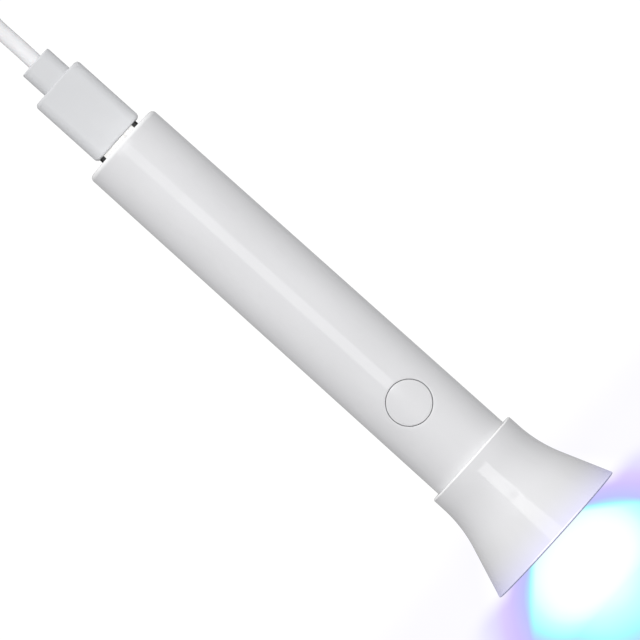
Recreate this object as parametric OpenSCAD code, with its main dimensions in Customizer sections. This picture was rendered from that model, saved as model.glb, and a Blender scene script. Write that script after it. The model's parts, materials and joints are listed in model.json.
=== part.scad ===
// Hand-held UV curing lamp: a slim tube with a flared head, a flush push button and a plug-in USB lead.
//
// Two frames are used, both in millimetres.
//   Lamp frame:   X runs along the lamp's axis from the tail to the rim, Z points at the button.
//   Placed frame: the lamp lies on its rim and tail edges, the floor is z = 0 and +X points at the head.
// The modules of the lamp and of its own plug draw in the lamp frame, and on_floor() places them.

/* [Tube] */
// Length of the tube that shows, from the tail to the head
tube_len = 106; // [104:0.5:112]
// Diameter of the tube at its tail
tail_d = 21; // [20.8:0.1:21.4]
// Diameter of the tube where it enters the head
front_d = 21.8; // [21.6:0.1:22]
// Thickness of the tube's wall at its tail
tube_wall = 1.2; // [1.1:0.05:1.3]
// Thickness of the closed tail
tail_wall = 2.2; // [1.8:0.1:2.6]
// Radius of the tail's rounded edge
tail_round = 1.1; // [0.6:0.1:1.4]

/* [Head] */
// Length of the flared head
head_len = 26; // [25.5:0.1:27]
// Diameter of the collar at the back of the head
collar_d = 25.4; // [25:0.1:26]
// Length of the straight collar
collar_len = 3.15; // [2.5:0.05:4]
// Radius of the hollow curve between the collar and the cone
flare_curve_r = 31; // [28:0.5:34]
// Half angle of the cone
flare_angle = 20.3; // [19:0.1:21.5]
// Thickness of the head's shell across the cone, measured along a radius
shell_wall = 1.6; // [1.4:0.1:1.8]
// Radius of the rim's rounded edge
rim_round = 0.3; // [0.2:0.05:0.5]

/* [Button] */
// Distance of the button's centre from the tail
button_x = 87.2; // [84:0.1:90]
// Diameter of the button
button_d = 10.8; // [10:0.1:11]
// Gap all round the button
button_gap = 0.2; // [0.15:0.01:0.3]
// Travel of the button
button_travel = 0.45; // [0.3:0.05:0.5]

/* [Light source] */
// Number of LEDs in the ring
led_count = 6; // [5:1:6]
// Radius of the ring of LEDs
led_ring_r = 5.4; // [5.3:0.1:5.6]
// Side of an LED's square body
led_side = 3.5; // [3:0.1:3.5]

/* [Lead] */
// Diameter of the cord
cord_d = 3.8; // [3.4:0.1:4]
// Width of the plug's moulded grip
grip_w = 14.1; // [13.8:0.1:15]
// Thickness of the plug's moulded grip
grip_t = 7; // [6.6:0.1:7.4]
// Length of the plug's moulded grip
grip_len = 18.6; // [18:0.1:20]
// Width of the collar behind the grip
relief_w = 8.4; // [8:0.1:9]
// Length of the collar behind the grip
relief_len = 6.75; // [6:0.05:7]
// How far the grip sits to one side of the plug's shell
grip_side = 0.35; // [0:0.05:0.4]
// How far the collar and the cord sit to that side
relief_side = 0.75; // [0:0.05:0.8]
// Gap between the seated plug's grip and the tail
plug_gap = 1.35; // [1:0.05:1.6]
// Middle radius of the coil's turns
coil_r = 20.5; // [20.4:0.1:20.6]

/* [Hidden] */

// Facets of every round shape
$fn = 96;
// Steps in a rounded edge and in the head's hollow curve
edge_steps = 6;
flare_steps = 14;
// How far a cutter reaches past the face that it cuts
over = 1;

// Colours
shell_white = [0.93, 0.93, 0.95];
cord_white = [0.95, 0.95, 0.96];
grip_grey = [0.85, 0.86, 0.87];
steel = [0.75, 0.76, 0.78];
gold = [0.85, 0.7, 0.35];
board_green = [0.1, 0.4, 0.25];
part_black = [0.12, 0.12, 0.13];

// Tube and spigot
tail_r = tail_d / 2;
spigot_r = front_d / 2;
bore_r = tail_r - tube_wall;
spigot_end = tube_len + 10;
bead_x = tube_len + 5;
bead_half = 1;
bead_h = 0.25;
fit_gap = 0.05;

// Head, from the back to the front
collar_r = collar_d / 2;
collar_round = 0.4;
rim_x = tube_len + head_len;
curve_end_x = tube_len + collar_len + flare_curve_r * sin(flare_angle);
curve_end_r = collar_r + flare_curve_r * (1 - cos(flare_angle));
rim_r = cone_r(rim_x);
rim_c = [rim_r - rim_round * (tan(flare_angle) + 1 / cos(flare_angle)), rim_x - rim_round];
head_bore_r = spigot_r + fit_gap;

// Stack behind the window
flange_end = spigot_end + 1.5;
pad_end = flange_end + 0.3;
board_end = pad_end + 1.6;
window_x = board_end + 2.2;
window_end = window_x + 1.3;
board_r = 9.6;
lip_r = 9.4;
window_r = 9.9;
side_gap = 0.1;

// Reflector
reflector_end = rim_x - 0.7;
reflector_r0 = 9.6;
reflector_r1 = 16.3;
reflector_t = 0.8;
reflector_step = 0.7;
reflector_lip_r = cone_r(reflector_end - reflector_step) - shell_wall - fit_gap;
reflector_foot_r = cone_r(window_end) - shell_wall - side_gap;
reflector_steps = 10;

// Heat sink and its two screws
sink_x = spigot_end - 15;
sink_r = bore_r - side_gap;
sink_bore_r = 2.4;
slot_count = 8;
slot_w = 1.2;
slot_depth = 2.6;
screw_r = 0.9;
screw_ring_r = 7.7;
screw_head_r = 1.5;
screw_head_h = 1;
screw_len = 7;
screw_slot_w = 0.35;

// Driver board, and the height of its top face
pcb_top = -2.85;
pcb_t = 1.2;
pcb_w = 15;
pcb_x = [3, tube_len - 9];
rail_x = [16, tube_len - 12];
rail_t = 1;
rail_y = 6.9;

// What stands on the driver board: places, the second number of a place being to both sides, and sizes
inductor_x = 62;
inductor_r = 4;
inductor_core_r = 3;
inductor_h = 4.6;
inductor_flange_t = 0.9;
chip_x = [48, 74];
chip_size = [5, 4, 1.5];
can_at = [30, 3.3];
can_r = 2.5;
can_h = 6.6;
ceramic_at = [54, 3];
ceramic_size = [2, 1.2, 1.2];
resistor_x = [38, 42, 69, 79];
resistor_y = 4;
resistor_size = [2, 1.2, 0.5];
lead_wire_d = 1.3;
lead_wire_sides = 8;

// Push button and the switch below it
cap_r = button_d / 2;
button_hole_r = cap_r + button_gap;
boss_r = button_hole_r + 1.2;
flange_r = cap_r + 0.9;
flange_top = 6.7;
flange_t = 0.7;
stem_r = 1.6;
switch_side = 6;
switch_h = 3.5;
plunger_r = 1.75;
plunger_top = pcb_top + 5;
plunger_bottom = pcb_top + 2.25;

// USB type A sizes
plug_w = 12;
plug_h = 4.5;
metal_t = 0.3;
plug_len = 11.75;
plug_root = 3.65;
socket_w = 13.1;
socket_h = 5.7;
socket_x = [0.6, 14.8];
slot_gap = 0.2;
contact_y = [-3.5, -1, 1, 3.5];
contact_w = 1;
socket_contact_t = 0.18;
socket_tongue_z = [0.2, 1.85];
socket_tongue_w = 11.1;
socket_tongue_x = 2;
plug_contact_t = 0.15;
plug_contact_x = 2;
plug_contact_len = 8.5;
plug_tongue_back = 0.5;
latch_at = [7.55, 2.9];
latch_side = 2.3;
grip_round = 1.2;
relief_t = 5.6;
relief_round = 2.4;

// How the lamp lies: its axis rises by tilt towards the head, so that both edges touch the floor
tail_c = [tail_r - tail_round, tail_round];
edge_gap = rim_c - tail_c;
tilt = atan2(edge_gap[0], edge_gap[1]) - asin((tail_round - rim_round) / norm(edge_gap));
lift = tail_c[0] * cos(tilt) + tail_round - tail_c[1] * sin(tilt);
mid_x = ((tail_c[1] + rim_c[1]) * cos(tilt) + edge_gap[0] * sin(tilt) + rim_round - tail_round) / 2;

// Cord, in the placed frame: from the strain relief to the coil, round the coil, and on to the far plug
cord_r = cord_d / 2;
relief_end_x = -plug_gap - grip_len - relief_len;
cord_exit = [relief_end_x * cos(tilt) - mid_x, relief_side, lift + relief_end_x * sin(tilt)];
run_points = [
    [-96, 0.8, 8.5], [-100, 0.8, 8.3], [-104, 0.8, 8.3], [-107.5, 1.1, 8.5], [-111, 2.1, 8.9],
    [-114.5, 3.8, 9.1], [-117.7, 6, 8.9],
];
coil_c = [-135, -9];
coil_start_angle = 50;
coil_end_angle = 90;
// Places of the turns across the bundle, in pitches outwards and in layers up, in the order wound
turn_places = [[0.5, 2], [1, 1], [0, 1], [-1, 1], [-1.5, 0], [-0.5, 0], [0.5, 0], [1.5, 0]];
turn_pitch = cord_d + 0.05;
layer_h = turn_pitch * sin(60);
bundle_half = 1.5 * turn_pitch + cord_r;
bundle_shoulders = [1.7 * cord_r, layer_h + 1.4 * cord_r];
bundle_top = 2 * layer_h + cord_d;
coil_start = coil_point(turn_places[0], coil_start_angle);
coil_end = coil_point(turn_places[len(turn_places) - 1], coil_end_angle);
tail_points = [
    [-139, 17.3, 1.9], [-143, 17.3, 1.9], [-147, 17.3, 1.9], [-151, 17.3, 1.9], [-155, 17.2, 1.9],
    [-159, 16.7, 1.9], [-163, 15.1, 1.9], [-166.1, 12.5, 2.1], [-168.3, 9.2, 2.6], [-169.7, 5.6, 3.2],
    [-170.2, 2.8, 3.5],
];
far_plug_at = [-171, -25, grip_t / 2];
far_cord_end = far_plug_at + [relief_side, grip_len + relief_len, 0];
cord_sides = 8;
tie_angle = 12;
tie_t = 0.6;
tie_at = 215;

// Outer radius of the head's cone at a distance from the tail
function cone_r(x) = curve_end_r + (x - curve_end_x) * tan(flare_angle);

// Points along an arc, for outlines
function arc(c, r, a0, a1, n) = [for (i = [0:n]) let (a = a0 + (a1 - a0) * i / n) c + r * [cos(a), sin(a)]];

// Centre of a turn of the coil at an angle round it
function coil_point(place, a) =
    let (r = coil_r + place[0] * turn_pitch)
    [coil_c[0] + r * cos(a), coil_c[1] + r * sin(a), cord_r + place[1] * layer_h];

// Radius of the reflector's bright side, from 0 at its back to 1 at its front
function reflector_r(t) = reflector_r0 + (reflector_r1 - reflector_r0) * (1.4 * t - 0.4 * t * t);

// Sweep of a round section along a path that never runs straight up
function unit(v) = v / norm(v);
function path_dir(path, i) = unit(path[min(i + 1, len(path) - 1)] - path[max(i - 1, 0)]);
function ring(path, i, r, n) =
    let (dir = path_dir(path, i), side = unit(cross(dir, [0, 0, 1])), up = cross(side, dir))
    [for (k = [0:n - 1]) path[i] + r * (cos(360 * k / n) * side + sin(360 * k / n) * up)];

module swept_tube(path, d, n) {
    last = len(path) - 1;
    points = [for (i = [0:last]) each ring(path, i, d / 2, n)];
    sides = [
        for (i = [0:last - 1], k = [0:n - 1])
            [i * n + k, i * n + (k + 1) % n, (i + 1) * n + (k + 1) % n, (i + 1) * n + k]
    ];
    back = [for (k = [n - 1:-1:0]) k];
    front = [for (k = [0:n - 1]) last * n + k];
    polyhedron(points = points, faces = concat([back], sides, [front]));
}

// Frames
module on_floor() { translate([-mid_x, 0, lift]) rotate([0, -tilt, 0]) children(); }
module along_x(x = 0) { translate([x, 0, 0]) rotate([0, 90, 0]) children(); }
module spun(outline) { rotate([0, 90, 0]) rotate_extrude() polygon(outline); }
module at_plug() { on_floor() translate([-plug_gap, 0, 0]) children(); }
module at_far_plug() { translate(far_plug_at) rotate([0, 0, -90]) children(); }
module at_screws() { for (s = [-1, 1]) translate([0, s * screw_ring_r, 0]) children(); }
module at_leds() {
    for (k = [0:led_count - 1])
        rotate([180 / led_count + 360 * k / led_count, 0, 0]) translate([0, led_ring_r, 0]) children();
}

// A rectangle with round corners, centred
module round_rect(w, h, r) {
    square([w - 2 * r, h], center = true);
    square([w, h - 2 * r], center = true);
    for (x = [-1, 1], y = [-1, 1]) translate([x * (w / 2 - r), y * (h / 2 - r)]) circle(r);
}

// A bar along X from x0 to x1, centred on the axis, with a width in Y and a height in Z
module bar(x0, x1, w, h) { translate([x0, -w / 2, -h / 2]) cube([x1 - x0, w, h]); }

// ---- Housing ----

tube_outline = concat(
    [[0, 0]],
    arc(tail_c, tail_round, -90, 0, edge_steps),
    [
        [spigot_r, tube_len],
        [spigot_r, bead_x - bead_half], [spigot_r + bead_h, bead_x - bead_half / 2],
        [spigot_r + bead_h, bead_x + bead_half / 2], [spigot_r, bead_x + bead_half],
        [spigot_r, spigot_end], [0, spigot_end],
    ]
);

module tube_rails() {
    for (s = [-1, 1], z = [pcb_top + 0.1, pcb_top - pcb_t - rail_t])
        translate([rail_x[0], s > 0 ? rail_y : -tail_r, z])
            cube([rail_x[1] - rail_x[0], tail_r - rail_y, rail_t]);
}

module tube_body() {
    color(shell_white) on_floor() difference() {
        union() {
            difference() {
                spun(tube_outline);
                along_x(tail_wall) cylinder(r = bore_r, h = spigot_end);
            }
            intersection() {
                union() {
                    tube_rails();
                    translate([button_x, 0, flange_top]) cylinder(r = boss_r, h = tail_r);
                }
                along_x(tail_wall) cylinder(r = bore_r + tube_wall / 2, h = tube_len - tail_wall);
            }
        }
        translate([button_x, 0, 0]) cylinder(r = button_hole_r, h = tail_d);
        bar(-over, tail_wall + over, socket_w + 2 * slot_gap, socket_h + 2 * slot_gap);
    }
}

head_outline = concat(
    arc([collar_r - collar_round, tube_len + collar_round], collar_round, -90, 0, edge_steps),
    arc([collar_r + flare_curve_r, tube_len + collar_len], flare_curve_r, 180, 180 - flare_angle, flare_steps),
    arc(rim_c, rim_round, -flare_angle, 90, edge_steps),
    [
        [rim_r - shell_wall, rim_x], [cone_r(window_end) - shell_wall, window_end],
        [window_r + side_gap, window_end], [window_r + side_gap, window_x],
        [lip_r, window_x], [lip_r, board_end],
        [board_r + side_gap, board_end], [board_r + side_gap, flange_end],
        [head_bore_r, flange_end], [head_bore_r, bead_x + bead_half + side_gap],
        [head_bore_r + bead_h, bead_x + bead_half / 2 + side_gap],
        [head_bore_r + bead_h, bead_x - bead_half / 2 - side_gap],
        [head_bore_r, bead_x - bead_half - side_gap], [head_bore_r, tube_len],
    ]
);

module flare_head() { color(shell_white) on_floor() spun(head_outline); }

reflector_outline = concat(
    [for (i = [0:reflector_steps]) let (t = i / reflector_steps)
        [reflector_r(t), window_end + t * (reflector_end - window_end)]],
    [[reflector_lip_r, reflector_end], [reflector_lip_r, reflector_end - reflector_step]],
    [for (i = [reflector_steps - 1:-1:1]) let (t = i / reflector_steps)
        [min(reflector_r(t) + reflector_t, reflector_lip_r), window_end + t * (reflector_end - window_end)]],
    [
        [reflector_r(0.08) + reflector_t, window_end + reflector_step],
        [reflector_foot_r, window_end + reflector_step],
        [reflector_foot_r, window_end],
    ]
);

module reflector() { color("silver") on_floor() spun(reflector_outline); }

module lens_window() {
    color([0.85, 0.9, 1, 0.4]) on_floor()
        along_x(window_x) cylinder(r = window_r, h = window_end - window_x);
}

// ---- Light source ----

module led_board() {
    color("white") on_floor() difference() {
        along_x(pad_end) cylinder(r = board_r, h = board_end - pad_end);
        at_screws() along_x(pad_end - over) cylinder(r = screw_r + 0.15, h = 4);
    }
}

module uv_leds() {
    color("lightyellow") on_floor() at_leds()
        translate([board_end, -led_side / 2, -led_side / 2]) cube([0.8, led_side, led_side]);
}

module led_domes() {
    color([0.9, 0.88, 1, 0.6]) on_floor() at_leds() translate([board_end + 0.8, 0, 0])
        intersection() {
            sphere(r = 1.25);
            bar(0, 2, 3, 3);
        }
}

module thermal_pad() {
    color("lightblue") on_floor() difference() {
        along_x(flange_end) cylinder(r = lip_r, h = pad_end - flange_end);
        along_x(flange_end - over) cylinder(r = sink_bore_r + 0.2, h = 3);
        at_screws() along_x(flange_end - over) cylinder(r = screw_r + 0.3, h = 3);
    }
}

module heat_sink() {
    color("gainsboro") on_floor() difference() {
        union() {
            along_x(sink_x) cylinder(r = sink_r, h = spigot_end - sink_x);
            along_x(spigot_end) cylinder(r = spigot_r - side_gap, h = flange_end - spigot_end);
        }
        along_x(sink_x - over) cylinder(r = sink_bore_r, h = flange_end - sink_x + 2 * over);
        at_screws() along_x(board_end - screw_len - 0.5) cylinder(r = screw_r + 0.05, h = screw_len);
        for (k = [0:slot_count - 1]) rotate([180 / slot_count + 360 * k / slot_count, 0, 0])
            translate([sink_x - over, -slot_w / 2, sink_r - slot_depth])
                cube([spigot_end - sink_x - 1, slot_w, slot_depth + over]);
    }
}

module led_board_screws() {
    color("silver") on_floor() at_screws() {
        along_x(board_end - screw_len) cylinder(r = screw_r, h = screw_len);
        difference() {
            along_x(board_end) cylinder(r = screw_head_r, h = screw_head_h);
            for (size = [[1.8, screw_slot_w], [screw_slot_w, 1.8]])
                bar(board_end + screw_head_h / 2, board_end + screw_head_h + over, size[0], size[1]);
        }
    }
}

// ---- Driver electronics ----

module driver_board() {
    color(board_green) on_floor()
        translate([pcb_x[0], -pcb_w / 2, pcb_top - pcb_t]) cube([pcb_x[1] - pcb_x[0], pcb_w, pcb_t]);
}

// A block that stands on the driver board
module chip(x, y, size) {
    translate([x - size[0] / 2, y - size[1] / 2, pcb_top]) cube(size);
}

module driver_inductor() {
    color("dimgray") on_floor() translate([inductor_x, 0, pcb_top]) {
        cylinder(r = inductor_core_r, h = inductor_h);
        for (z = [0, inductor_h - inductor_flange_t])
            translate([0, 0, z]) cylinder(r = inductor_r, h = inductor_flange_t);
    }
}

module driver_chips() {
    color(part_black) on_floor() for (x = chip_x) chip(x, 0, chip_size);
}

module driver_capacitors() {
    color("silver") on_floor() for (s = [-1, 1]) {
        translate([can_at[0], s * can_at[1], pcb_top]) cylinder(r = can_r, h = can_h);
        chip(ceramic_at[0], s * ceramic_at[1], ceramic_size);
    }
}

module driver_resistors() {
    color(part_black) on_floor()
        for (x = resistor_x, s = [-1, 1]) chip(x, s * resistor_y, resistor_size);
}

// Lead from the driver board, through the heat sink's bore, to the back of the LED board
module led_lead(s) {
    swept_tube([
        [tube_len - 14, 2.2 * s, pcb_top + lead_wire_d / 2], [tube_len - 11, 2 * s, -1.4],
        [tube_len - 8, 1.5 * s, -0.5], [tube_len - 5, 1.1 * s, 0], [pad_end, 1.1 * s, 0],
    ], lead_wire_d, lead_wire_sides);
}

module led_lead_red() { color("red") on_floor() led_lead(1); }
module led_lead_black() { color(part_black) on_floor() led_lead(-1); }

// ---- USB socket ----

module usb_socket_shell() {
    color(steel) on_floor() difference() {
        bar(socket_x[0], socket_x[1], socket_w, socket_h);
        bar(socket_x[0] - over, socket_x[1] - metal_t, socket_w - 2 * metal_t, socket_h - 2 * metal_t);
    }
}

module usb_socket_tongue() {
    back_x = plug_len - plug_gap + 0.6;
    color("white") on_floor() {
        bar(back_x, socket_x[1] - metal_t, socket_w - 2 * metal_t, socket_h - 2 * metal_t);
        translate([socket_tongue_x, -socket_tongue_w / 2, socket_tongue_z[0]])
            cube([back_x - socket_tongue_x, socket_tongue_w, socket_tongue_z[1] - socket_tongue_z[0]]);
    }
}

module usb_socket_contacts() {
    front_x = socket_tongue_x + 0.5;
    color(gold) on_floor() for (y = contact_y)
        translate([front_x, y - contact_w / 2, socket_tongue_z[0] - socket_contact_t])
            cube([plug_len - plug_gap - front_x, contact_w, socket_contact_t]);
}

// ---- Button ----

module tact_switch() {
    color(part_black) on_floor() translate([button_x, 0, pcb_top]) difference() {
        union() {
            translate([-switch_side / 2, -switch_side / 2, 0]) cube([switch_side, switch_side, switch_h]);
            for (x = [-1, 1], y = [-1, 1]) translate([x * (switch_side / 2 + 0.2), y * 2.25, 0.7])
                cube([0.4, 0.7, 1.4], center = true);
        }
        translate([0, 0, plunger_bottom - pcb_top - button_travel - 0.1])
            cylinder(r = plunger_r + fit_gap, h = switch_h);
    }
}

module tact_plunger() {
    color("gray") on_floor() translate([button_x, 0, plunger_bottom])
        cylinder(r = plunger_r, h = plunger_top - plunger_bottom);
}

module button_cap() {
    color(shell_white) on_floor() {
        intersection() {
            translate([button_x, 0, flange_top]) cylinder(r = cap_r, h = tail_r);
            spun(tube_outline);
        }
        translate([button_x, 0, flange_top - flange_t]) cylinder(r = flange_r, h = flange_t);
        translate([button_x, 0, plunger_top]) cylinder(r = stem_r, h = flange_top - flange_t - plunger_top);
    }
}

// ---- USB plug, drawn with its tip along +X and the front of its grip at x = 0 ----

module usb_grip() {
    color(grip_grey) difference() {
        intersection() {
            translate([-grip_len / 2, grip_side, -grip_t / 2]) linear_extrude(grip_t)
                round_rect(grip_len, grip_w, grip_round);
            translate([-grip_len, grip_side, 0]) rotate([90, 0, 90]) linear_extrude(grip_len)
                round_rect(grip_w, grip_t, 2 * grip_round);
        }
        bar(-plug_root, over, plug_w, plug_h);
    }
}

module usb_shell() {
    color(steel) difference() {
        bar(-plug_root, plug_len, plug_w, plug_h);
        bar(-plug_root - over, plug_len + over, plug_w - 2 * metal_t, plug_h - 2 * metal_t);
        for (s = [-1, 1]) translate([latch_at[0], s * latch_at[1], 0])
            cube([latch_side, latch_side, 2 * plug_h], center = true);
    }
}

module usb_tongue() {
    inner_w = plug_w - 2 * metal_t;
    inner_h = plug_h - 2 * metal_t;
    color("white") difference() {
        union() {
            bar(-plug_root, plug_tongue_back, inner_w, inner_h);
            translate([-plug_root, -inner_w / 2, -inner_h / 2])
                cube([plug_root + plug_len - plug_tongue_back, inner_w, inner_h / 2]);
        }
        plug_contact_bars(over);
    }
}

// The four contacts of a plug, or with a greater height the grooves for them
module plug_contact_bars(h) {
    for (y = contact_y) translate([plug_contact_x, y - contact_w / 2, -plug_contact_t])
        cube([plug_contact_len, contact_w, h]);
}

module usb_contacts() { color(gold) plug_contact_bars(plug_contact_t); }

module usb_relief() {
    color(grip_grey) translate([-grip_len - relief_len, relief_side, 0]) rotate([90, 0, 90])
        linear_extrude(relief_len) round_rect(relief_w, relief_t, relief_round);
}

module plug_grip() { at_plug() usb_grip(); }
module plug_shell() { at_plug() usb_shell(); }
module plug_tongue() { at_plug() usb_tongue(); }
module plug_contacts() { at_plug() usb_contacts(); }
module strain_relief() { at_plug() usb_relief(); }
module far_plug_grip() { at_far_plug() usb_grip(); }
module far_plug_shell() { at_far_plug() usb_shell(); }
module far_plug_tongue() { at_far_plug() usb_tongue(); }
module far_plug_contacts() { at_far_plug() usb_contacts(); }
module far_strain_relief() { at_far_plug() usb_relief(); }

// ---- Cord ----

module cord_run() {
    color(cord_white) swept_tube(concat([cord_exit], run_points, [coil_start]), cord_d, cord_sides);
}

module cord_tail() {
    color(cord_white) swept_tube(concat([coil_end], tail_points, [far_cord_end]), cord_d, cord_sides);
}

// Outline of the bundle of turns, grown outwards by g: four turns wide below and one above
function bundle(g) = [
    [coil_r - bundle_half - g, 0], [coil_r + bundle_half + g, 0],
    [coil_r + bundle_half + g, bundle_shoulders[0]],
    [coil_r + turn_pitch + cord_r + g, bundle_shoulders[1]],
    [coil_r + turn_pitch + g, bundle_top + g], [coil_r - g, bundle_top + g],
    [coil_r - turn_pitch - cord_r - g, bundle_shoulders[1]],
    [coil_r - bundle_half - g, bundle_shoulders[0]],
];

module cord_coil() { color(cord_white) translate(coil_c) rotate_extrude() polygon(bundle(0)); }

module cord_tie() {
    color("white") translate(coil_c) rotate([0, 0, tie_at - tie_angle / 2])
        rotate_extrude(angle = tie_angle) difference() {
            polygon(bundle(tie_t));
            translate([0, tie_t / 2]) polygon(bundle(-tie_t / 2));
        }
}

tube_body();
flare_head();
reflector();
lens_window();
led_board();
uv_leds();
led_domes();
thermal_pad();
heat_sink();
led_board_screws();
driver_board();
driver_inductor();
driver_chips();
driver_capacitors();
driver_resistors();
led_lead_red();
led_lead_black();
usb_socket_shell();
usb_socket_tongue();
usb_socket_contacts();
tact_switch();
tact_plunger();
button_cap();
plug_grip();
plug_shell();
plug_tongue();
plug_contacts();
strain_relief();
cord_run();
cord_coil();
cord_tail();
cord_tie();
far_plug_grip();
far_plug_shell();
far_plug_tongue();
far_plug_contacts();
far_strain_relief();
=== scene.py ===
"""Looks of the UV curing lamp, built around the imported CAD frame. Named lengths are in mm."""

import json
import math

import bmesh
import bpy
from mathutils import Matrix, Vector


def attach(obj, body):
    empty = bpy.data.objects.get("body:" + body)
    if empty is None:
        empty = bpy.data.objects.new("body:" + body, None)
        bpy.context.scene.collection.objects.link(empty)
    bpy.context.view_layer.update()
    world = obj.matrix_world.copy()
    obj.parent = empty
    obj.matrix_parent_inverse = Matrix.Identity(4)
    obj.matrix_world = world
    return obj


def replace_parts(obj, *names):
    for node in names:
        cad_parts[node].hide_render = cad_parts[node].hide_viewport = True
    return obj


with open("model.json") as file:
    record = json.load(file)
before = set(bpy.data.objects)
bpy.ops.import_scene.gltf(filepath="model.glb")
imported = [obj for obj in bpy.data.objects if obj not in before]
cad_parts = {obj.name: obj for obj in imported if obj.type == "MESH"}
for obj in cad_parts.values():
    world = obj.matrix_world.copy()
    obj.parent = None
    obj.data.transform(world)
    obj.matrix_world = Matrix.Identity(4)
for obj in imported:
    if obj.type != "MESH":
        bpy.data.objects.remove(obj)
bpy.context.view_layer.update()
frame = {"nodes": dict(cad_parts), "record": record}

MM = 0.001

# ---- places, from the frame

MOUNTS = {m["name"]: m for m in frame["record"]["mounts"]}
SOCKET_INSET = 0.6  # the USB socket's front lies this far inside the tail


def local_frame(x, y, z, origin):
    """The matrix of a local frame, from its axes and origin in the row frame."""
    return Matrix([[x[i], y[i], z[i], origin[i]] for i in range(3)] + [[0, 0, 0, 1]])


def local_box(node, place):
    """Lowest and highest corner of a CAD node in a local frame, in mm."""
    inverse = place.inverted()
    points = [inverse @ v.co / MM for v in frame["nodes"][node].data.vertices]
    return [Vector([pick(p[i] for p in points) for i in range(3)]) for pick in (min, max)]


ALONG = Vector(MOUNTS["rim_face"]["axis"]).normalized()
ACROSS = Vector((0, 1, 0))
UP = ALONG.cross(ACROSS).normalized()
TAIL = Vector(MOUNTS["usb_port"]["pos_m"]) - SOCKET_INSET * MM * ALONG
LAMP = local_frame(ALONG, ACROSS, UP, TAIL)

HEAD_X, RIM_X = (corner.x for corner in local_box("flare_head", LAMP))
RIM_R = local_box("flare_head", LAMP)[1].y
SPIGOT_X = local_box("tube_body", LAMP)[1].x
PLUG_GAP = -local_box("plug_grip", LAMP)[1].x
PLUG = LAMP @ Matrix.Translation((-PLUG_GAP * MM, 0, 0))
GRIP_LOW, GRIP_HIGH = local_box("plug_grip", PLUG)
GRIP_LEN, GRIP_W, GRIP_T = GRIP_HIGH - GRIP_LOW
GRIP_SIDE = (GRIP_LOW.y + GRIP_HIGH.y) / 2
RELIEF_LOW, RELIEF_HIGH = local_box("strain_relief", PLUG)
RELIEF_X = RELIEF_LOW.x
RELIEF_W, RELIEF_T = (RELIEF_HIGH - RELIEF_LOW).yz
RELIEF_SIDE = (RELIEF_LOW.y + RELIEF_HIGH.y) / 2
SHELL_X = [corner.x for corner in local_box("plug_shell", PLUG)]
SHELL_W, SHELL_T = (2 * local_box("plug_shell", PLUG)[1][i] for i in (1, 2))
FAR_TIP = Vector(MOUNTS["far_usb_plug"]["pos_m"])
FAR_AXIS = Vector(MOUNTS["far_usb_plug"]["axis"])
FAR_PLUG = local_frame(
    FAR_AXIS, Vector((0, 0, 1)).cross(FAR_AXIS), Vector((0, 0, 1)), FAR_TIP - SHELL_X[1] * MM * FAR_AXIS
)
BUTTON_X = sum(corner.x for corner in local_box("button_cap", LAMP)) / 2
WINDOW_X = [corner.x for corner in local_box("lens_window", LAMP)]
BOARD_X = local_box("led_board", LAMP)[1].x
LED_X = local_box("uv_leds", LAMP)[1].x
REFLECTOR_X = [corner.x for corner in local_box("reflector", LAMP)]

# ---- camera

CAMERA_AWAY = 2500
VIEW_WIDTH = 144.2
SENSOR = 36
AIM = (59.9, 0.43, 0)
AXIS_SLOPE = 41.956  # degrees that the lamp's axis runs below the picture's horizontal


def add_object(name, data, place):
    """Makes and links the object of some data, at a matrix."""
    made = bpy.data.objects.new(name, data)
    bpy.context.scene.collection.objects.link(made)
    made.matrix_world = place
    return made


def add_camera():
    """The camera looks straight down on the button's side of the lamp, from far away."""
    data = bpy.data.cameras.new("camera")
    data.sensor_width = SENSOR
    data.lens = SENSOR * CAMERA_AWAY / VIEW_WIDTH
    data.clip_start, data.clip_end = 0.01, 50
    turn = Matrix.Rotation(math.radians(AXIS_SLOPE), 4, "Z")
    aim, away = (Matrix.Translation(Vector(p) * MM) for p in (AIM, (0, 0, CAMERA_AWAY)))
    bpy.context.scene.camera = add_object("camera", data, LAMP @ aim @ turn @ away)


# ---- node helpers


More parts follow.
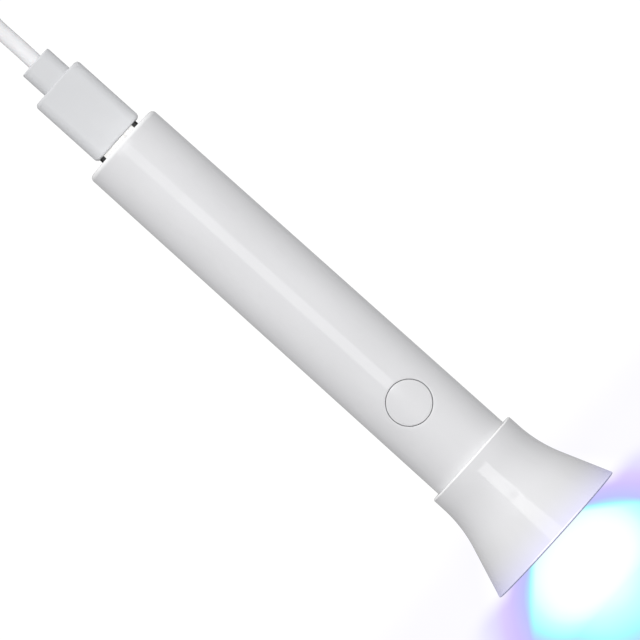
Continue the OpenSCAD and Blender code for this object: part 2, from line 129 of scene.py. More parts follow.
class Shader:
    """A Principled material under construction. Positions in it are in mm in the piece's own frame."""

    def __init__(self, name, **inputs):
        self.material = bpy.data.materials.new(name)
        self.material.use_nodes = True
        self.tree = self.material.node_tree
        self.base = self.tree.nodes["Principled BSDF"]
        self.fill(self.base, inputs)
        self.place = self.scaled(self.add("ShaderNodeTexCoord").outputs["Object"], (1 / MM,) * 3)

    def fill(self, node, inputs):
        for key, value in inputs.items():
            socket = node.inputs[key if isinstance(key, int) else key.replace("_", " ")]
            if isinstance(value, bpy.types.NodeSocket):
                self.tree.links.new(value, socket)
            else:
                socket.default_value = value

    def add(self, kind, settings=(), **inputs):
        node = self.tree.nodes.new(kind)
        for key, value in dict(settings).items():
            setattr(node, key, value)
        self.fill(node, inputs)
        return node

    def scaled(self, vector, scale):
        node = self.add("ShaderNodeVectorMath", {"operation": "MULTIPLY"})
        self.fill(node, {0: vector, 1: scale})
        return node.outputs[0]

    def math(self, operation, a, b=0.0, c=0.0):
        node = self.add("ShaderNodeMath", {"operation": operation})
        self.fill(node, {0: a, 1: b, 2: c})
        return node.outputs[0]

    def hypot(self, a, b):
        """Square root of the sum of two values' squares."""
        squares = [self.math("MULTIPLY", value, value) for value in (a, b)]
        return self.math("SQRT", self.math("ADD", *squares))

    def part(self, vector, axis):
        return self.add("ShaderNodeSeparateXYZ", Vector=vector).outputs[axis]

    def noise(self, size, stretch=(1, 1, 1), detail=3.0, roughness=0.5):
        """Noise with features about size mm across, longer along the axes where stretch is below 1."""
        node = self.add("ShaderNodeTexNoise", Scale=1 / size, Detail=detail, Roughness=roughness)
        self.fill(node, {"Vector": self.scaled(self.place, stretch)})
        return node.outputs["Fac"]

    def span(self, value, low, high, to_low=0.0, to_high=1.0, smooth=True):
        """value from low to high, turned into to_low to to_high and held there beyond."""
        kind = "SMOOTHSTEP" if smooth else "LINEAR"
        node = self.add("ShaderNodeMapRange", {"interpolation_type": kind}, Value=value)
        self.fill(node, {"From Min": low, "From Max": high, "To Min": to_low, "To Max": to_high})
        return node.outputs["Result"]

    def mix(self, factor, a, b, blend="MIX"):
        """Two colours, the node's inputs 6 and 7, mixed by a factor."""
        node = self.add("ShaderNodeMix", {"data_type": "RGBA", "blend_type": blend})
        self.fill(node, {0: factor, 6: a, 7: b})
        return node.outputs[2]

    def bump(self, height, depth, strength=1.0, under=None):
        """Bump of a height from 0 to 1 over depth mm."""
        node = self.add("ShaderNodeBump", Height=height, Distance=depth * MM, Strength=strength)
        if under is not None:
            self.fill(node, {"Normal": under})
        return node.outputs["Normal"]

    def tone(self):
        """The colour that the material has so far."""
        return self.base.inputs["Base Color"].links[0].from_socket

    def use(self, **inputs):
        self.fill(self.base, inputs)
        return self.material


def grey(value, tint=(1.0, 1.0, 1.0)):
    """An even grey, or one tinted a little."""
    return (value * tint[0], value * tint[1], value * tint[2], 1.0)


# ---- materials

COOL = (0.985, 0.985, 1.0)


def moulded_plastic(name, colour, roughness, grain=0.25, grain_depth=0.004, mottle=0.035):
    """Injection-moulded plastic: faint flow mottling, fine spark-eroded grain and soft smudges."""
    s = Shader(name, IOR=1.49)
    flow = s.noise(9, stretch=(0.35, 1, 1), detail=4)
    dark = tuple(c * (1 - mottle) for c in colour[:3]) + (1.0,)
    tone = s.mix(s.span(flow, 0.3, 0.7), dark, colour)
    smudge = s.span(s.noise(14, detail=5, roughness=0.6), 0.35, 0.7, -0.02, 0.03)
    fine = s.span(s.noise(0.8, detail=2), 0.3, 0.7, -0.015, 0.015)
    rough = s.math("ADD", s.math("ADD", smudge, fine), roughness)
    skin = s.bump(s.noise(grain, detail=2), grain_depth, 0.35)
    waves = s.bump(s.noise(6, detail=1), 0.01, 0.25, under=skin)
    s.use(Base_Color=tone, Roughness=rough, Normal=waves)
    return s


def lamp_shell():
    """The glossy white plastic of the tube and the head."""
    return moulded_plastic("lamp_shell", grey(0.8, COOL), 0.07)


def white_shell():
    """The shell's plastic, with a painted highlight on the tail's rounded edge."""
    s = lamp_shell()
    # Painted highlight: the tail's rounded edge is whitened.
    edge = s.span(s.part(s.place, 0), 0.1, TAIL_ROUND, 1, 0)
    return s.use(Base_Color=s.mix(edge, s.tone(), grey(0.95)))


# The head's tones, with painted highlights, shade and glow, in mm ahead of the collar's back edge, ahead of
# the rim's face or out from its radius
HEAD_SHADE, HEAD_SHADE_X = 0.97, (2, 6)
BACK_EDGE_PAINTED_HIGHLIGHT_X = (0.3, 0.45)
RIM_PAINTED_HIGHLIGHT_X, RIM_PAINTED_HIGHLIGHT_ASIDE, RIM_PAINTED_HIGHLIGHT_FADE = (-0.7, -0.55), (5, 11), (0.85, 0.15)
LIP_X, LIP_OUT, LIP_PAINTED_SHADE = (-0.35, -0.2), (-0.6, -0.4), (0.4, 0.42, 0.52, 1.0)
PAINTED_GLOW_TINT, PAINTED_GLOW_LEVEL, PAINTED_GLOW_POWER, PAINTED_GLOW_LOST_ON_LIP = (0.2, 0.16, 1.0, 1.0), 0.25, 2.2, 0.6
GLOSS, MOUTH_GLOSS, MOUTH_GLOSS_X = 0.5, 0.32, -3


def head_plastic_painted_light():
    """The shell's plastic, with painted highlights on the collar's back edge and inside the rim, a painted
    violet glow toward the rim and painted shade on the lip.
    """
    s = lamp_shell()
    s.material.name = "head_plastic_painted_light"
    x, y, z = (s.part(s.place, axis) for axis in range(3))

    def past(value, mark, edges, *ends):
        """How far a value has come between two distances from a mark."""
        return s.span(value, mark + edges[0], mark + edges[1], *ends)

    tone = s.mix(past(x, HEAD_X, HEAD_SHADE_X), s.tone(), grey(HEAD_SHADE), "MULTIPLY")
    # Painted highlight: a white band along the collar's back edge.
    tone = s.mix(past(x, HEAD_X, BACK_EDGE_PAINTED_HIGHLIGHT_X, 1, 0), tone, grey(1.0))
    # Painted highlight: a white line at the rim's face, weaker away from the middle.
    painted_rim_highlight = s.span(s.math("ABSOLUTE", y), *RIM_PAINTED_HIGHLIGHT_ASIDE, *RIM_PAINTED_HIGHLIGHT_FADE)
    tone = s.mix(s.math("MULTIPLY", painted_rim_highlight, past(x, RIM_X, RIM_PAINTED_HIGHLIGHT_X)), tone, grey(1.0))
    # Painted shade: a dark blue-grey line on the rim's outer edge.
    lip = s.math("MULTIPLY", past(x, RIM_X, LIP_X), past(s.hypot(y, z), RIM_R, LIP_OUT))
    tone = s.mix(lip, tone, LIP_PAINTED_SHADE)
    # Painted glow: violet emission, growing toward the rim, standing in for the LEDs' light through the
    # shell and bounced from the lit floor.
    painted_glow = s.math("POWER", s.span(x, WINDOW_X[1], RIM_X, smooth=False), PAINTED_GLOW_POWER)
    painted_glow = s.math("MULTIPLY", painted_glow, s.math("SUBTRACT", 1.0, s.math("MULTIPLY", lip, PAINTED_GLOW_LOST_ON_LIP)))
    return s.use(
        Specular_IOR_Level=s.span(x, WINDOW_X[1], RIM_X + MOUTH_GLOSS_X, GLOSS, MOUTH_GLOSS),
        Base_Color=tone,
        Emission_Color=PAINTED_GLOW_TINT,
        Emission_Strength=s.math("MULTIPLY", painted_glow, PAINTED_GLOW_LEVEL),
    )


def button_plastic():
    return moulded_plastic("button_plastic", grey(0.79, COOL), 0.24).material


def grip_plastic():
    """The lead's overmould: softer and greyer than the lamp's shell."""
    tone = grey(0.68, (0.97, 0.98, 1.0))
    return moulded_plastic("grip_plastic", tone, 0.42, grain=0.35, grain_depth=0.012, mottle=0.03).material


def cord_jacket():
    """Soft PVC with faint marks along its length."""
    s = Shader("cord_jacket", IOR=1.5, Subsurface_Weight=0.1, Subsurface_Scale=0.0006)
    s.use(Subsurface_Radius=(1.0, 0.8, 0.7))
    streak = s.noise(1.2, stretch=(0.2, 1, 1), detail=3)
    tone = s.mix(s.span(streak, 0.3, 0.75), grey(0.87, COOL), grey(0.91, COOL))
    rough = s.span(s.noise(5, detail=4), 0.3, 0.7, 0.34, 0.5)
    skin = s.bump(s.noise(0.3, detail=2), 0.008, 0.4)
    return s.use(Base_Color=tone, Roughness=rough, Normal=skin)


def tie_fabric():
    """Hook-and-loop strap: a fine weave under short loops."""
    s = Shader("tie_fabric", Sheen_Weight=0.4, Sheen_Roughness=0.5, Roughness=0.9)
    loops = s.noise(0.22, detail=4, roughness=0.7)
    weave = s.add("ShaderNodeTexVoronoi", Vector=s.place, Scale=2.6).outputs["Distance"]
    tone = s.mix(s.span(loops, 0.35, 0.7), grey(0.52), grey(0.82))
    under = s.bump(weave, 0.12, 0.7)
    return s.use(Base_Color=tone, Normal=s.bump(loops, 0.1, 0.8, under=under))


def lined_metal(name, colour, roughness, stretch=(0.06, 1, 1)):
    """Plated or turned metal with fine lines along the axes where stretch is small, and duller spots."""
    s = Shader(name, Metallic=1.0)
    lines = s.noise(0.12, stretch=stretch, detail=3)
    dull = s.span(s.noise(1.6, detail=4), 0.45, 0.75, 0, 0.08)
    dark = tuple(c * 0.86 for c in colour[:3]) + (1.0,)
    tone = s.mix(s.span(lines, 0.3, 0.75), dark, colour)
    rough = s.math("ADD", s.math("ADD", s.span(lines, 0.3, 0.7, -0.04, 0.06), dull), roughness)
    s.use(Base_Color=tone, Roughness=rough, Normal=s.bump(lines, 0.004, 0.4))
    return s


def metal(*look):
    return lined_metal(*look).material


def reflector_coating():
    """Vacuum-plated mirror on plastic: bright, with a faint orange peel."""
    s = Shader("reflector_coating", Metallic=1.0)
    haze = s.noise(4, detail=4)
    tone = s.mix(s.span(haze, 0.3, 0.7), grey(0.86), grey(0.93, (0.98, 0.99, 1)))
    rough = s.span(haze, 0.3, 0.7, 0.06, 0.12)
    return s.use(Base_Color=tone, Roughness=rough, Normal=s.bump(s.noise(1.1), 0.01, 0.3))


def clear_window():
    """Clear acrylic with a few fine scratches."""
    s = Shader("clear_window", IOR=1.49, Transmission_Weight=1.0)
    hairs = s.noise(0.5, stretch=(1, 0.08, 1), detail=2)
    tone = s.mix(s.noise(7, detail=3), (0.96, 0.97, 1.0, 1), (1, 1, 1, 1))
    rough = s.span(hairs, 0.68, 0.8, 0.01, 0.12)
    return s.use(Base_Color=tone, Roughness=rough, Normal=s.bump(hairs, 0.002, 0.15))


def board_mask(name, mask, trace):
    """Circuit board: solder mask over tracks, whose edges stand up a little."""
    s = Shader(name, Roughness=0.35, Coat_Weight=0.4, Coat_Roughness=0.15)
    cells = s.add(
        "ShaderNodeTexVoronoi",
        {"feature": "F1", "distance": "CHEBYCHEV"},
        Vector=s.scaled(s.place, (0.35, 1, 1)),
        Scale=0.55,
    ).outputs["Distance"]
    track = s.span(cells, 0.42, 0.46)
    glass = s.noise(0.5, stretch=(1, 1, 0.3), detail=2)
    tone = s.mix(track, mask, trace)
    speckled = s.mix(s.span(glass, 0.35, 0.7, 0, 0.12), tone, grey(0.9))
    return s.use(Base_Color=speckled, Normal=s.bump(track, 0.035, 0.6))


def speckled(name, dark, light, size, roughness, depth=0.01):
    """A fine-grained solid such as ferrite, epoxy, silicone or a lead's sleeve."""
    s = Shader(name)
    grain = s.noise(size, detail=4, roughness=0.6)
    cloud = s.noise(size * 12, detail=3)
    tone = s.mix(s.span(grain, 0.3, 0.7), dark, light)
    toned = s.mix(s.span(cloud, 0.3, 0.7, 0, 0.25), tone, dark)
    rough = s.span(cloud, 0.3, 0.7, roughness - 0.06, roughness + 0.06)
    return s.use(Base_Color=toned, Roughness=rough, Normal=s.bump(grain, depth, 0.4))


def lit_silicone():
    """An LED's dome, lit violet: whiter and brighter in its middle, over the die."""
    s = Shader("lit_silicone", IOR=1.41, Roughness=0.12, Coat_Weight=0.6, Coat_Roughness=0.05)
    facing = s.add("ShaderNodeLayerWeight", Blend=0.35).outputs["Facing"]
    cloud = s.noise(0.5, detail=3)
    glow = s.mix(facing, (0.72, 0.66, 1.0, 1), (0.2, 0.12, 1.0, 1))
    strength = s.span(cloud, 0.25, 0.75, 2.2, 3.0)
    return s.use(Base_Color=(0.8, 0.8, 0.95, 1), Emission_Color=glow, Emission_Strength=strength)


def lit_ceramic():
    """An LED's ceramic package, white and tinted by its own light."""
    s = Shader("lit_ceramic", Roughness=0.55)
    grain = s.noise(0.12, detail=3)
    tone = s.mix(s.span(grain, 0.3, 0.7), (0.82, 0.8, 0.9, 1), (0.92, 0.9, 1.0, 1))
    return s.use(
        Base_Color=tone,
        Emission_Color=(0.35, 0.25, 1.0, 1),
        Emission_Strength=s.span(grain, 0.2, 0.8, 0.2, 0.3),
        Normal=s.bump(grain, 0.01, 0.4),
    )


def ramp(node, stops):
    """Sets a colour ramp's stops from (place, red, green, blue)."""
    elements = node.color_ramp.elements
    while len(elements) < len(stops):
        elements.new(0.5)
    for element, (place, *colour) in zip(elements, stops):
        element.position = place
        element.color = (*colour, 1.0)


# The lamp's light painted on the floor, in mm ahead of the rim and beside the axis. A colour comes with its
# reach from the core's middle. The front is where the light starts, and the beam is what it fills as it
# spreads.
GLOW_SHIFT = 1.64
CORE_AHEAD, CORE_SQUEEZE, CORE_BLEND = 10.5, (1.2, 1.5), 2
CORE_FAR, CORE_FAR_RATE = 8.3, 0.55
GLOW_REACH = 40
FRONT_SPAN = (-2.0, 3.0)
FRONT_ASIDE, FRONT_LEAD = (19, 12), 2.5
BEAM_EDGE, BEAM_SPREAD, BEAM_SOFT = 8, 1.16, 1.7
BEAM_INSIDE, BEAM_ASIDE = -0.5, (3, 10)
BEAM_OUTSIDE, BEAM_FADE = 5.7, 0.42
GLOW_COLOURS = [
    (9.5, 1.0, 1.0, 1.0), (11.6, 0.93, 1.0, 1.0), (13.6, 0.79, 1.0, 1.0), (15.3, 0.61, 1.0, 1.0),
    (18.3, 0.4, 0.96, 1.0), (19.6, 0.45, 0.77, 1.0), (21.4, 0.53, 0.55, 0.98), (24.8, 0.64, 0.55, 0.99),
    (27.5, 0.72, 0.62, 0.99), (30.0, 0.79, 0.75, 1.0), (33.0, 0.86, 0.85, 0.98), (36.0, 0.95, 0.95, 0.98),
    (40.0, 1.0, 1.0, 1.0),
]
HAZE_TINT = (0.93, 0.922, 1.0, 1.0)
HAZE_BACK, HAZE_CORE, HAZE_END = (-26, -8), (20, 27), (50, 90)
FLOOR_DIFFUSE = 0.06


def floor_glow():
    """A pale floor with the lamp's light painted on it: white core, cyan, violet and a faint haze."""
    s = Shader("pale_floor_painted_glow", Specular_IOR_Level=0.0, Roughness=0.9)
    world = s.scaled(s.add("ShaderNodeNewGeometry").outputs["Position"], (1 / MM,) * 3)
    mouth = (LAMP @ Vector((RIM_X * MM, 0, 0))) / MM
    ahead = s.math("SUBTRACT", s.part(world, 0), mouth.x + GLOW_SHIFT)
    aside = s.math("ABSOLUTE", s.part(world, 1))
    from_core = s.math("ABSOLUTE", s.math("SUBTRACT", ahead, CORE_AHEAD))
    far = s.math("MULTIPLY_ADD", from_core, CORE_FAR_RATE, CORE_FAR)
    squeeze = s.span(ahead, CORE_AHEAD - CORE_BLEND, CORE_AHEAD + CORE_BLEND, *CORE_SQUEEZE)
    squeezed = s.math("MINIMUM", s.math("MULTIPLY", from_core, squeeze), far)
    edge = s.math("MULTIPLY_ADD", ahead, BEAM_SPREAD, BEAM_EDGE)
    inside = s.span(aside, *BEAM_ASIDE, 0, BEAM_INSIDE)
    outside = s.math("MAXIMUM", s.math("MULTIPLY_ADD", ahead, -BEAM_FADE, BEAM_OUTSIDE), 0)
    beyond = s.span(s.math("SUBTRACT", aside, edge), -BEAM_SOFT, BEAM_SOFT, inside, outside)
    reach = s.math("ADD", s.hypot(squeezed, aside), beyond)
    colours = s.add("ShaderNodeValToRGB", Fac=s.math("DIVIDE", reach, GLOW_REACH))
    ramp(colours, [(place / GLOW_REACH, *colour) for place, *colour in GLOW_COLOURS])
    lead = s.math("ADD", ahead, s.span(aside, *FRONT_ASIDE, 0, FRONT_LEAD))
    glow = s.mix(s.span(lead, *FRONT_SPAN), grey(1.0), colours.outputs[0])
    away = s.hypot(from_core, aside)
    haze = s.math("MULTIPLY", s.span(ahead, *HAZE_BACK), s.span(away, *HAZE_END, 1, 0))
    haze = s.math("MULTIPLY", haze, s.span(away, *HAZE_CORE))
    glow = s.mix(haze, glow, HAZE_TINT, "MULTIPLY")
    speck = s.span(s.noise(30, detail=4), 0.3, 0.7, 0.8, 1.0)
    tone = s.mix(1.0, glow, s.mix(speck, grey(0.0), grey(FLOOR_DIFFUSE)), "MULTIPLY")
    # Painted light: the glow's colours are emitted by the floor.
    return s.use(Base_Color=tone, Emission_Color=glow, Emission_Strength=1.0)


# ---- mesh helpers


class Solid:
    """Points, in mm in a local frame, and faces, gathered for one mesh."""

    def __init__(self):
        self.points, self.faces = [], []

    def ring(self, points):
        start = len(self.points)
        self.points.extend(Vector(p) for p in points)
        return list(range(start, len(self.points)))

    def section(self, x, outline, side=0):
        """A ring square to X, from an outline's (across, up) points moved to one side."""
        return self.ring([(x, y + side, z) for y, z in outline])

    def band(self, a, b):
        """Faces between two closed rings of one length; a ring of one point makes a fan."""
        if len(a) == 1 and len(b) == 1:
            return
        count = max(len(a), len(b))
        for i in range(count):
            j = (i + 1) % count
            corners = [a[i % len(a)], a[j % len(a)], b[j % len(b)], b[i % len(b)]]
            self.faces.append(list(dict.fromkeys(corners)))

    def bands(self, rings, closed=False):
        for a, b in zip(rings, rings[1:] + rings[:1] if closed else rings[1:]):
            self.band(a, b)

    def bar(self, rings):
        """Bands through rings, with the first and the last ring closed."""
        self.bands(rings)
        self.faces += [list(rings[0]), list(rings[-1])]


def add_piece(name, solid, material, place, body, slot, replaces=(), sharp=40):
    """Makes the mesh object of a solid, in its local frame, riding on a body."""
    mesh = bpy.data.meshes.new(name)
    mesh.from_pydata([p * MM for p in solid.points], [], solid.faces)
    work = bmesh.new()
    work.from_mesh(mesh)
    bmesh.ops.recalc_face_normals(work, faces=work.faces)
    work.to_mesh(mesh)
    work.free()
    mesh.materials.append(material)
    mesh.shade_smooth()
    mesh.set_sharp_from_angle(angle=math.radians(sharp))
    piece = add_object(name, mesh, place)
    weighted = piece.modifiers.new("weighted", "WEIGHTED_NORMAL")
    weighted.keep_sharp = True
    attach(piece, body)
    if replaces:
        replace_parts(piece, *replaces)
    return piece


def arc(cx, cy, r, start, end, steps):
    """Points along an arc, with its angles in degrees."""
    turns = [math.radians(start + (end - start) * i / steps) for i in range(steps + 1)]
    return [(cx + r * math.cos(a), cy + r * math.sin(a)) for a in turns]


def around(count, start=0.0):
    return [math.radians(start) + 2 * math.pi * i / count for i in range(count)]


def lathe(profile, count=144, place=None, solid=None):
    """A closed profile of (distance along X, radius) points, turned round X."""
    solid = solid or Solid()
    place = place or Matrix()
    rings = []
    for x, r in profile:
        turns = around(count) if r > 1e-6 else [0]
        rings.append(solid.ring([place @ Vector((x, r * math.sin(a), r * math.cos(a))) for a in turns]))
    solid.bands(rings, closed=True)
    return solid


def rounded_rect(w, h, r, steps=6):
    """Outline of a centred rectangle with round corners, as (across, up) points."""
    corners = [(1, 1, 0), (-1, 1, 90), (-1, -1, 180), (1, -1, 270)]
    return [
        p for sx, sy, a in corners for p in arc(sx * (w / 2 - r), sy * (h / 2 - r), r, a, a + 90, steps)
    ]


def block(solid, place, size, corner, edge, steps=3):
    """A block with its plan's corners rounded and its top and bottom edges eased."""
    w, h, t = size
    quarter = [math.radians(90 * i / steps) for i in range(steps + 1)]
    eases = [(-t / 2 + edge * (1 - math.cos(a)), edge * (1 - math.sin(a))) for a in quarter]
    eases += [(-z, inset) for z, inset in reversed(eases)]
    rings = [
        solid.ring(
            place @ Vector((u, v, z))
            for u, v in rounded_rect(w - 2 * inset, h - 2 * inset, max(corner - inset, 0.02), steps)
        )
        for z, inset in eases
    ]
    solid.bar(rings)
    return solid


# ---- housing

TAIL_R, FRONT_R, BORE_R = 10.5, 10.9, 9.3
TAIL_ROUND, TAIL_WALL = 1.1, 2.2
BEAD_X, BEAD_HALF, BEAD_H = HEAD_X + 5, 1, 0.25
SLOT_W, SLOT_H, SLOT_ROUND, SLOT_EDGE = 13.5, 6.1, 0.6, 0.15
CAP_R, HOLE_R, BOSS_R, BOSS_Z = 5.25, 5.39, 6.8, 6.7
BUTTON_EDGE = 0.12
COLUMN_STEP = 4  # degrees between the tube's columns
TUBE_STEP, BORE_STEP = 2.5, 12
EASE_TURNS = (30, 60, 90)  # degrees round the button's eased edges
PATCH_HALF = 56  # degrees to each side of the button that its patch takes
PATCH_REACH = 9
RAILS_X, RAIL_Y, RAIL_T = (16, 94), (6.9, 8.7), 1
RAILS_Z = (-2.75, -5.05)


def tube_r(x):
    """Radius of the tube's outside."""
    share = (x - TAIL_ROUND) / (HEAD_X - TAIL_ROUND)
    return TAIL_R + (FRONT_R - TAIL_R) * min(max(share, 0), 1)


def tube_top(x, y):
    """Height of the tube's outside over its axis."""
    return math.sqrt(tube_r(x) ** 2 - y**2)


def bore_top(x, y):
    """Height of the tube's inside over its axis."""
    return math.sqrt(BORE_R**2 - y**2)


def bead(r, gap=0):
    """Outline of the snap bead round the tube's end, or of its groove in the head, which has a gap."""
    half = [(BEAD_HALF + gap, 0), (BEAD_HALF / 2 + gap, BEAD_H)]
    return [(BEAD_X - x, r + h) for x, h in half] + [(BEAD_X + x, r + h) for x, h in half[::-1]]


def spread(start, end, step):
    """Distances between start and end, both left out, about step apart."""
    count = max(1, round((end - start) / step))
    return [start + (end - start) * i / count for i in range(1, count)]


def open_wall(solid, profile, columns, first, count):
    """A wall turned round X with a square left open. Returns its rows and the square's edge."""
    grid = []
    for i, (x, r) in enumerate(profile):
        left_out = range(1, count) if first < i < first + count else ()
        grid.append([
            None if k in left_out else solid.ring([(x, r * math.sin(a), r * math.cos(a))])[0]
            for k, a in enumerate(columns)
        ])
    for i in range(len(profile) - 1):
        for k in range(len(columns)):
            if first <= i < first + count and k < count:
                continue
            j = (k + 1) % len(columns)
            solid.faces.append([grid[i][k], grid[i][j], grid[i + 1][j], grid[i + 1][k]])
    last = first + count
    edge = [grid[first][k] for k in range(count)] + [grid[i][count] for i in range(first, last)]
    edge += [grid[last][k] for k in range(count, 0, -1)] + [grid[i][0] for i in range(last, first, -1)]
    return grid, edge


def rings_to_circle(solid, edge, top, r, steps):
    """Rings on a curved wall, from an open square's edge to a circle round the button's axis."""
    rings = [edge]
    corners = [solid.points[i] for i in edge]
    for n in range(1, steps + 1):
        t = n / steps
        ring = []
        for p in corners:
            turn = math.atan2(p.y, p.x - BUTTON_X)
            x = p.x * (1 - t) + (BUTTON_X + r * math.cos(turn)) * t
            y = p.y * (1 - t) + r * math.sin(turn) * t
            ring.append((x, y, top(x, y)))
        rings.append(solid.ring(ring))
    return rings


def circle(solid, turns, r, top):
    """A ring round the button's axis, at the heights that top gives."""
    plan = [(BUTTON_X + r * math.cos(a), r * math.sin(a)) for a in turns]
    return solid.ring([(x, y, top(x, y)) for x, y in plan])


def circle_like(solid, ring, r, top):
    """A ring round the button's axis, its points in line with another ring's."""
    turns = [math.atan2(solid.points[i].y, solid.points[i].x - BUTTON_X) for i in ring]
    return circle(solid, turns, r, top)


def slot_reach(a):
    """Distance from the axis to the tail slot's edge, in a direction."""
    y, z = abs(math.sin(a)), abs(math.cos(a))
    reach = min(SLOT_W / 2 / max(y, 1e-9), SLOT_H / 2 / max(z, 1e-9))
    corner = Vector((SLOT_W / 2 - SLOT_ROUND, SLOT_H / 2 - SLOT_ROUND))
    if reach * y > corner.x and reach * z > corner.y:
        along = corner.x * y + corner.y * z
        reach = along + math.sqrt(along**2 - corner.length_squared + SLOT_ROUND**2)
    return reach


def tube_shell():
    """The tube, with its button hole, tail slot and snap bead, and the rails inside."""
    solid = Solid()
    columns = [math.radians(a - PATCH_HALF) for a in range(0, 360, COLUMN_STEP)]
    count = 2 * PATCH_HALF // COLUMN_STEP
    patch = [BUTTON_X - PATCH_REACH + 2 * PATCH_REACH * i / count for i in range(count + 1)]
    tail_edge = arc(TAIL_ROUND, TAIL_R - TAIL_ROUND, TAIL_ROUND, 180, 90, 8)
    before = spread(TAIL_ROUND, patch[0], TUBE_STEP)
    after = spread(patch[-1], HEAD_X, TUBE_STEP) + [HEAD_X]
    barrel = [(x, tube_r(x)) for x in before + patch + after]
    outside = tail_edge + barrel + bead(FRONT_R) + [(SPIGOT_X, FRONT_R)]
    outer, outer_edge = open_wall(solid, outside, columns, len(tail_edge + before), count)
    bore = [TAIL_WALL] + spread(TAIL_WALL, patch[0], BORE_STEP)
    inside = [(x, BORE_R) for x in bore + patch + [HEAD_X, SPIGOT_X]]
    inner, inner_edge = open_wall(solid, inside, columns, len(bore), count)

    hole = rings_to_circle(solid, outer_edge, tube_top, HOLE_R + BUTTON_EDGE, steps=6)
    for a in EASE_TURNS:
        ease, sink = (BUTTON_EDGE * (1 - f(math.radians(a))) for f in (math.sin, math.cos))
        hole.append(circle_like(solid, hole[-1], HOLE_R + ease, lambda x, y: tube_top(x, y) - sink))
    hole.append(circle_like(solid, hole[-1], HOLE_R, lambda x, y: BOSS_Z))
    boss = rings_to_circle(solid, inner_edge, bore_top, BOSS_R, steps=4)
    boss.append(circle_like(solid, boss[-1], BOSS_R, lambda x, y: BOSS_Z))
    solid.bands(hole + boss[::-1])

    def slot(x, ease):
        reaches = [(a, slot_reach(a) + ease) for a in columns]
        return solid.ring([(x, r * math.sin(a), r * math.cos(a)) for a, r in reaches])

    solid.bands([outer[0], slot(0, SLOT_EDGE), slot(SLOT_EDGE, 0), slot(TAIL_WALL, 0), inner[0]])
    solid.band(outer[-1], inner[-1])
    for side in (-1, 1):
        for z in RAILS_Z:
            middle = (sum(RAILS_X) / 2, side * sum(RAIL_Y) / 2, z + RAIL_T / 2)
            size = (RAILS_X[1] - RAILS_X[0], RAIL_Y[1] - RAIL_Y[0], RAIL_T)
            block(solid, Matrix.Translation(middle), size, corner=0.2, edge=0.1)
    add_piece("tube_shell", solid, white_shell(), LAMP, "lamp", "white_shell", ["tube_body"])


COLLAR_R, COLLAR_LEN, COLLAR_ROUND = 12.7, 3.15, 0.4
FLARE_R, FLARE_ANGLE = 31, 20.3
SHELL_WALL, RIM_ROUND, CONE_STEP = 1.6, 0.3, 1.5
SEAT_R, SEAT_LIP_R, BOARD_SEAT_R = 10.0, 9.4, 9.7
SINK_X = local_box("heat_sink", LAMP)[1].x
HEAD_BORE_R, SNAP_GAP = 10.95, 0.1
MOUTH_EASE = [(0, 0.2), (0.06, 0.05), (0.25, -0.09)]  # back from the rim's face, out from the mouth


def cone_r(x):
    """Radius of the head's cone."""
    a = math.radians(FLARE_ANGLE)
    curve_x = HEAD_X + COLLAR_LEN + FLARE_R * math.sin(a)
    return COLLAR_R + FLARE_R * (1 - math.cos(a)) + (x - curve_x) * math.tan(a)


def head_profile():
    """The head's section: outside from collar to rim, then back by the mouth, the seats and the bore."""
    a = math.radians(FLARE_ANGLE)
    rim_r = cone_r(RIM_X)
    rim_middle = rim_r - RIM_ROUND * (math.tan(a) + 1 / math.cos(a))
    back_edge = arc(HEAD_X + COLLAR_ROUND, COLLAR_R - COLLAR_ROUND, COLLAR_ROUND, 180, 90, 8)
    flare = arc(HEAD_X + COLLAR_LEN, COLLAR_R + FLARE_R, FLARE_R, -90, FLARE_ANGLE - 90, 32)
    cone_end = RIM_X - RIM_ROUND - RIM_ROUND * math.sin(a)
    cone = [(x, cone_r(x)) for x in spread(flare[-1][0], cone_end, CONE_STEP)]
    rim = arc(RIM_X - RIM_ROUND, rim_middle, RIM_ROUND, 90 + FLARE_ANGLE, 0, 8)
    mouth_r = rim_r - SHELL_WALL
    mouth = [(RIM_X - back, mouth_r + out) for back, out in MOUTH_EASE]
    groove = bead(HEAD_BORE_R, SNAP_GAP)[::-1]
    seats = [
        (WINDOW_X[1], cone_r(WINDOW_X[1]) - SHELL_WALL), (WINDOW_X[1], SEAT_R), (WINDOW_X[0], SEAT_R),
        (WINDOW_X[0], SEAT_LIP_R), (BOARD_X, SEAT_LIP_R), (BOARD_X, BOARD_SEAT_R),
        (SINK_X, BOARD_SEAT_R), (SINK_X, HEAD_BORE_R),
    ]
    return back_edge + flare + cone + rim + mouth + seats + groove + [(HEAD_X, HEAD_BORE_R)]


def head_shell():
    solid = lathe(head_profile(), 180)
    add_piece("head_shell", solid, head_plastic_painted_light(), LAMP, "lamp", "white_shell", ["flare_head"], sharp=50)


FACE_RINGS, FACE_COUNT = 12, 96
FLANGE_R, FLANGE_Z, STEM_R, STEM_Z = CAP_R + 0.9, BOSS_Z - 0.7, 1.6, 2.15


